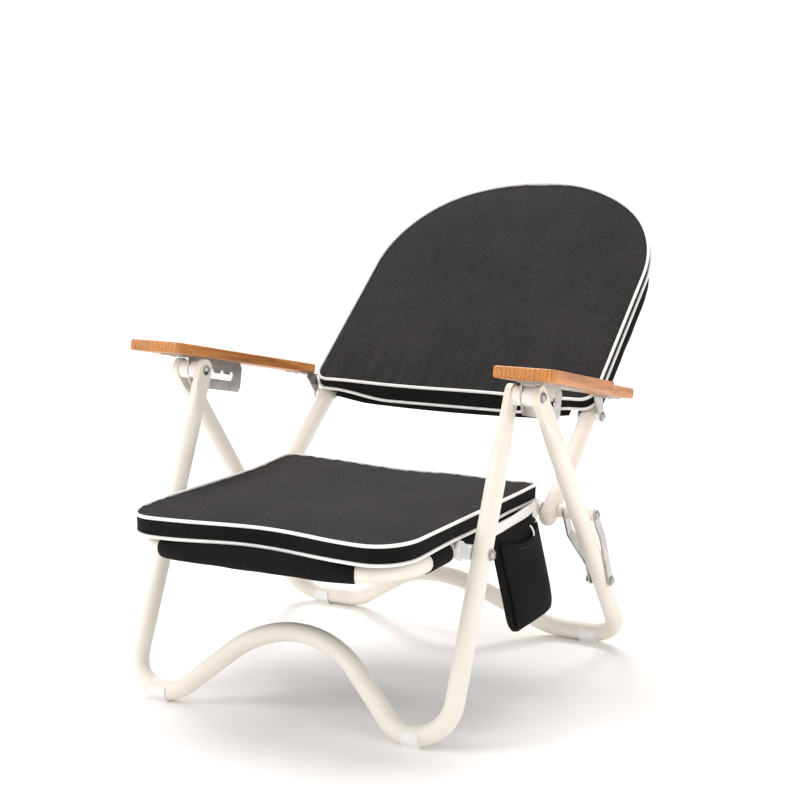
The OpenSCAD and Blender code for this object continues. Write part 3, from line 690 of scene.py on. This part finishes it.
def stitches(name, line, material, body, place=ROW, pitch=3.6 * MM, length=2.5 * MM, radius=0.32 * MM):
    """A row of lockstitches along a line of local points, lying on the cloth."""
    marks = resample(line, pitch, closed=False)
    points, faces = [], []
    for a, b in zip(marks[:-1], marks[1:]):
        run = (b - a) / np.linalg.norm(b - a)
        across = [0.0, 0.0, 1.0] if abs(run[2]) < 0.9 else [1.0, 0.0, 0.0]
        side = np.cross(run, across)
        side /= np.linalg.norm(side)
        up = np.cross(side, run)
        start = len(points)
        for t, grow in ((0.0, 0.35), (0.25, 1.0), (0.75, 1.0), (1.0, 0.35)):
            for k in range(6):
                turn = math.pi * k / 3
                spoke = math.cos(turn) * side + math.sin(turn) * up
                points.append(a + run * length * t + radius * grow * spoke)
        faces += rings_to_faces(4, 6, start=start)
        faces += [tuple(start + k for k in range(5, -1, -1)), tuple(start + 18 + k for k in range(6))]
    return piece(name, points, faces, material, body, place)


def arc(middle, radius, start, end, steps=24):
    """Points (x, y) on an arc, angles in degrees."""
    turn = np.radians(np.linspace(start, end, steps))
    return np.stack([middle[0] + radius * np.cos(turn), middle[1] + radius * np.sin(turn)], axis=1)


def at_height(outline, height):
    return np.column_stack([outline, np.full(len(outline), height)])


def seat_sling():
    """Canvas panel between the seat tubes, with its sleeves round the front bar and the sides."""
    front = SEAT_FRONT_Y + 5 * MM
    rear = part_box("seat_sling")[1].y
    side_start = SEAT_FRONT_Y + SEAT_CORNER_R
    corner = SEAT_TUBE_X - SEAT_CORNER_R
    wide = SEAT_TUBE_X - 5 * MM
    rows = []
    for y in np.linspace(front, rear, 44):
        share = float(smoothstep(y, SEAT_FRONT_Y + 8 * MM, side_start + 4 * MM)) ** 0.8
        half = corner + (wide - corner) * share
        x = np.linspace(-half, half, 56)
        through = float(np.clip((y - front) / (rear - front), 0, 1))
        sag = 4.2 * MM * (1 - (x / half) ** 2) * math.sin(math.pi * through)
        rows.append(np.stack([x, np.full_like(x, y), SEAT_Z + 14.5 * MM - sag], axis=1))
    panel = cloth_slab("seat_sling_panel", rows, 1.1 * MM, CANVAS_DARK_AND_BAND_SHADE, "seat")
    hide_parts("seat_sling")
    radius = TUBE_R + 1.25 * MM
    bend = 23
    left = arc((-corner, side_start), SEAT_CORNER_R, 270 - bend, 270, 8)
    right = arc((corner, side_start), SEAT_CORNER_R, 270, 270 + bend, 8)
    straight = np.stack([np.linspace(-corner, corner, 48)[1:-1], np.full(46, SEAT_FRONT_Y)], axis=1)
    front_line = at_height(np.vstack([left, straight, right]), SEAT_Z)
    sleeves = [sleeve("seat_sleeve_front", front_line, radius, "seat")]
    pivot_y = centre("seat_pivot_spacers").y
    boss = 18 * MM
    for word, sign in (("left", 1), ("right", -1)):
        for part, y0, y1 in (("fore", side_start, pivot_y - boss), ("aft", pivot_y + boss, rear)):
            ys = np.linspace(y0, y1, max(6, int((y1 - y0) / (4 * MM))))
            line = np.stack([np.full_like(ys, sign * SEAT_TUBE_X), ys, np.full_like(ys, SEAT_Z)], axis=1)
            sleeves.append(sleeve(f"seat_sleeve_{part}_{word}", line, radius, "seat"))
    for made in sleeves:
        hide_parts("seat_sling_sleeves")


def back_sling():
    """Canvas panel of the back, slack in the middle, with one sleeve round the arch."""
    sleeve_s = 212 * MM
    low_s = 184 * MM
    arch_s = BACK_TOP_S - BACK_ARCH_R
    top_x = BACK_TUBE_X - BACK_ARCH_R
    reach = BACK_ARCH_R - 5 * MM
    stations = [(s, BACK_TUBE_X - 26 * MM + (21 * MM) * float(smoothstep(s, 206 * MM, 218 * MM)))
                for s in np.linspace(low_s, arch_s, 56)]
    stations += [(arch_s + reach * math.sin(a), top_x + reach * math.cos(a))
                 for a in np.linspace(0, math.radians(84), 30)[1:]]
    rows = []
    for s, half in stations:
        x = np.linspace(-half, half, 60)
        below_arch = 1 - float(smoothstep(s, arch_s, arch_s + 0.95 * reach))
        hollow = 9 * MM * (1 - smoothstep(np.abs(x), 150 * MM, 222 * MM)) * below_arch
        near_hem = 1 - float(smoothstep(s, low_s, low_s + 30 * MM))
        droop = 8 * MM * (1 - (x / half) ** 2) * near_hem
        rows.append(np.stack([x, s - droop, 14.4 * MM - hollow], axis=1))
    panel = cloth_slab("back_sling_panel", rows, 1.1 * MM, CANVAS_DARK_AND_BAND_SHADE, "back", BACK)
    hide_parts("back_sling")
    up = np.stack([np.full(62, -BACK_TUBE_X), np.linspace(sleeve_s, arch_s, 62)], axis=1)
    left = arc((-top_x, arch_s), BACK_ARCH_R, 180, 90, 64)[1:]
    right = arc((top_x, arch_s), BACK_ARCH_R, 90, 0, 64)
    down = np.stack([np.full(61, BACK_TUBE_X), np.linspace(arch_s, sleeve_s, 62)[1:]], axis=1)
    line = at_height(np.vstack([up, left, right, down]), 0.0)

    def slant(rings, along):
        """The hem runs lower at the outside rear of each tube."""
        far = along[-1] - along
        ends = np.exp(-np.minimum(along, far) / (14 * MM))[:, None]
        rearward = np.clip(-rings[..., 2] / TUBE_R, 0, 1)
        rings[..., 1] -= 13 * MM * ends * rearward
        return rings

    made = sleeve("back_sleeve", line, TUBE_R + 1.3 * MM, "back", BACK, slant)
    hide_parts("back_sling_sleeve")


class Pocket:
    """Places on the side pocket. u runs front to rear and v from the bottom to the top, both 0 to 1."""
    inner_x = 225 * MM
    height = 166 * MM
    width = 163 * MM
    lean = 37 * MM
    lean_out = 18 * MM
    corner_r = 28 * MM
    mouth_v = 0.85
    mouth_sag = 0.06

    def __init__(self):
        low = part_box("pocket_pouch")[0]
        self.low_z = low.z - 6 * MM
        self.top_y = low.y

    def across(self, u, v):
        """Y of a place, drawn in at the rounded lower corners."""
        r = self.corner_r
        z = v * self.height
        cut = np.where(z < r, r - np.sqrt(np.maximum(0, r ** 2 - (r - z) ** 2)), 0)
        y0 = self.top_y + self.lean * (1 - v) + cut
        y1 = self.top_y + self.lean * (1 - v) + self.width - cut
        return y0 + (y1 - y0) * u

    def bulge(self, u, v):
        """How far the outer face stands off the inner one."""
        side = np.clip(1 - np.abs(2 * u - 1) ** 3, 0, 1)
        belly = 15 * np.sin(math.pi * np.clip(v, 0, 1) ** 0.62) ** 0.8 + 3.5 * v
        fold = 1.1 * np.sin(9 * u + 4 * v) * np.sin(math.pi * v)
        return (1.6 + side * (belly + fold)) * MM

    def inner(self, v):
        """X of the inner face, which leans out towards the bottom."""
        return self.inner_x + self.lean_out * (1 - np.asarray(v)) ** 1.2

    def outer(self, u, v):
        """A place on the outer face, in the row frame."""
        z = self.low_z + v * self.height + 7 * MM * u * v
        return np.stack([self.inner(v) + self.bulge(u, v), self.across(u, v), z], axis=-1)

    def mouth(self, u):
        """How high the patch's sagging mouth is."""
        return self.mouth_v - self.mouth_sag * np.sin(math.pi * u) ** 2


def side_pocket():
    """Hanging pouch with a patch pocket, a white binding, a folded tab with an eyelet and a loop."""
    place = Pocket()
    pouch = pocket_pouch(place)
    patch = pocket_patch(place)
    threads = pocket_stitches(place)
    tape = pocket_binding(place)
    trims = [*pocket_tab(place), pocket_loop(place), *threads]
    for made in (pouch, patch, tape, *trims):
        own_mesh(made)


def pocket_pouch(place):
    """The bag itself, a closed form between its outer and inner faces."""
    u, v = np.meshgrid(np.linspace(0, 1, 44), np.linspace(0, 1, 48))
    outer = place.outer(u, v)
    inner = outer.copy()
    inner[..., 0] = place.inner(v) + 0.5 * MM * np.sin(7 * u + 5 * v)
    points, faces = two_sided(outer, inner)
    made = piece("side_pocket", points, faces, CANVAS_DARK_AND_BAND_SHADE, "seat")
    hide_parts("pocket_pouch")
    return made


def pocket_patch(place):
    """Patch pocket that stands off the pouch, most in the middle of its mouth."""
    u, share = np.meshgrid(np.linspace(0.07, 0.93, 40), np.linspace(0, 1, 40))
    v = 0.055 + share * (place.mouth(u) - 0.055)
    grid = place.outer(u, v)
    gape = np.sin(math.pi * (u - 0.07) / 0.86) * smoothstep(v, 0.6, place.mouth_v)
    grid[..., 0] += (2.4 + 5.5 * gape) * MM
    made = cloth_slab("pocket_patch_cloth", grid[::-1], 1.3 * MM, CANVAS_DARK_AND_BAND_SHADE, "seat")
    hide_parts("pocket_patch")
    return made


def pocket_stitches(place):
    """One row of stitches under the patch's mouth and one round its other three sides."""
    u = np.linspace(0.09, 0.91, 60)
    hem = place.outer(u, place.mouth(u) - 0.05)
    hem[:, 0] += (2.7 + 5.0 * np.sin(math.pi * (u - 0.07) / 0.86)) * MM
    top = place.mouth_v - 0.07
    down = [(0.10, v) for v in np.linspace(top, 0.12, 40)]
    along = [(u, 0.085) for u in np.linspace(0.13, 0.87, 30)]
    back_up = [(0.90, v) for v in np.linspace(0.12, top, 40)]
    edge = np.array([place.outer(u, v) for u, v in down + along + back_up])
    edge[:, 0] += 2.75 * MM
    made = [stitches("pocket_stitches_hem", hem, THREAD, "seat"),
            stitches("pocket_stitches_edge", edge, THREAD, "seat")]
    return made


def pocket_binding(place):
    """White tape folded over the pouch's top edge."""
    u, v = np.meshgrid(np.linspace(-0.015, 1.012, 50), np.linspace(0, 1, 8))
    band = place.outer(np.clip(u, 0, 1), np.ones_like(u))
    band[..., 1] = place.across(u, np.ones_like(u))
    band[..., 2] += (v * 15 - 9) * MM
    ripple = 0.5 * MM * np.sin(11 * u + 3 * v)
    band[..., 0] = np.minimum(band[..., 0], place.inner_x + 6.5 * MM) + 1.2 * MM + ripple
    made = cloth_slab("pocket_binding", band[::-1], 2.4 * MM, TAPE, "seat")
    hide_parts("pocket_tape")
    return made


def pocket_tab(place):
    """White tape folded over at the rear end of the binding, with an eyelet."""
    low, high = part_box("pocket_tab")
    rows = []
    for t in np.linspace(0, 1, 26):
        z = high.z + 2 * MM - t * (high.z - low.z + 4 * MM)
        y = np.linspace(low.y - 3 * MM, high.y + 4 * MM, 10)
        x = place.inner_x + (3 + 3.2 * math.sin(math.pi * t) + 1.4 * math.sin(3 * math.pi * t)) * MM
        rows.append(np.stack([np.full_like(y, x), y + 2 * MM * t, np.full_like(y, z)], axis=1))
    made = cloth_slab("pocket_tab_tape", rows[::-1], 1.5 * MM, TAPE, "seat")
    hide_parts("pocket_tab")
    eye = (low + high) / 2 + Vector((0, 1, -3)) * MM
    turn = np.linspace(0, 2 * math.pi, 28, endpoint=False)
    ring_line = np.stack([np.full_like(turn, place.inner_x + 7.2 * MM),
                          eye.y + 4.2 * MM * np.cos(turn), eye.z + 4.2 * MM * np.sin(turn)], axis=1)
    ring = tube("pocket_eyelet", ring_line, 0.9 * MM, STEEL, "seat")
    return made, ring


def pocket_loop(place):
    """Small light pull loop on the patch."""
    rows = []
    for t in np.linspace(0, 1, 22):
        x, y, z = place.outer(0.66, place.mouth_v + 0.04 - 0.10 * t)
        x += (7.5 + 2.5 * math.sin(math.pi * t)) * MM
        across = y + np.linspace(-2.2, 2.2, 4) * MM
        rows.append(np.stack([np.full(4, x), across, np.full(4, z)], axis=1))
    made = cloth_slab("pocket_pull", rows[::-1], 0.9 * MM, TAPE, "seat")
    return made


# ---- stage, light and camera ----

def area_light(name, position, target, size, power, color=(1, 1, 1)):
    data = bpy.data.lights.new(name, "AREA")
    data.shape = "DISK"
    data.size = size
    data.energy = power
    data.color = color
    made = bpy.data.objects.new(name, data)
    made.location = position
    made.rotation_euler = (Vector(target) - Vector(position)).to_track_quat("-Z", "Y").to_euler()
    bpy.context.scene.collection.objects.link(made)
    return made


def stage():
    floor = Shader("floor", (0.97, 0.955, 0.95), 0.9)
    floor.bsdf.inputs["Specular IOR Level"].default_value = 0.1
    place = floor.place()
    tone = floor.noise(place, 3, 3)
    floor.color(floor.ramp(tone, (0.3, (0.965, 0.95, 0.945)), (0.7, (0.975, 0.96, 0.955))))
    mesh = bpy.data.meshes.new("studio_floor")
    half = 14.0
    corners = [(-half, -half, 0), (half, -half, 0), (half, half, 0), (-half, half, 0)]
    mesh.from_pydata(corners, [], [(0, 1, 2, 3)])
    mesh.materials.append(floor.material)
    made = bpy.data.objects.new("studio_floor", mesh)
    bpy.context.scene.collection.objects.link(made)

    studio_world()
    aim = (0, 0, 0.3)
    area_light("key", (-1.5, 2.2, 3.0), aim, 0.9, 40, (1.0, 0.985, 0.97))
    area_light("fill", (-2.6, -2.4, 2.2), aim, 2.2, 50, (1.0, 0.99, 0.98))
    area_light("side", (2.8, -1.2, 1.6), aim, 2.0, 16, (1.0, 0.985, 0.97))
    data = bpy.data.lights.new("overhead", "SUN")
    data.energy = 2.0
    data.angle = math.radians(55)
    data.color = (1.0, 0.985, 0.975)
    overhead = bpy.data.objects.new("overhead", data)
    overhead.rotation_euler = Vector((-0.35, 0.55, 1.3)).to_track_quat("Z", "Y").to_euler()
    bpy.context.scene.collection.objects.link(overhead)


def studio_world():
    """White surround, dimmer overhead, so that undersides and sides keep their shade."""
    world = bpy.data.worlds.new("studio")
    world.use_nodes = True
    tree = world.node_tree
    background = tree.nodes["Background"]
    background.inputs["Color"].default_value = (1.0, 0.995, 0.99, 1)
    coords = tree.nodes.new("ShaderNodeTexCoord")
    split = tree.nodes.new("ShaderNodeSeparateXYZ")
    tree.links.new(coords.outputs["Generated"], split.inputs["Vector"])
    level = tree.nodes.new("ShaderNodeMapRange")
    for socket, value in (("From Min", 0.16), ("From Max", 0.5), ("To Min", 1.06), ("To Max", 0.6)):
        level.inputs[socket].default_value = value
    tree.links.new(split.outputs["Z"], level.inputs["Value"])
    tree.links.new(level.outputs["Result"], background.inputs["Strength"])
    bpy.context.scene.world = world


def camera():
    """Eye-level three-quarter view from the sitter's left front."""
    data = bpy.data.cameras.new("camera")
    data.sensor_width = 36
    data.lens = 76.36
    made = bpy.data.objects.new("camera", data)
    made.location = (1.1974, -2.4136, 0.8431)
    made.rotation_euler = (math.radians(90 - 9.358), math.radians(0), math.radians(27.14))
    made.rotation_euler.rotate_axis("Z", math.radians(0.112))
    bpy.context.scene.collection.objects.link(made)
    bpy.context.scene.camera = made
    bpy.context.scene.view_settings.view_transform = "Standard"


stage()
camera()
finish_cad_nodes()
seat_cushion()
back_cushion()
seat_sling()
back_sling()
side_pocket()
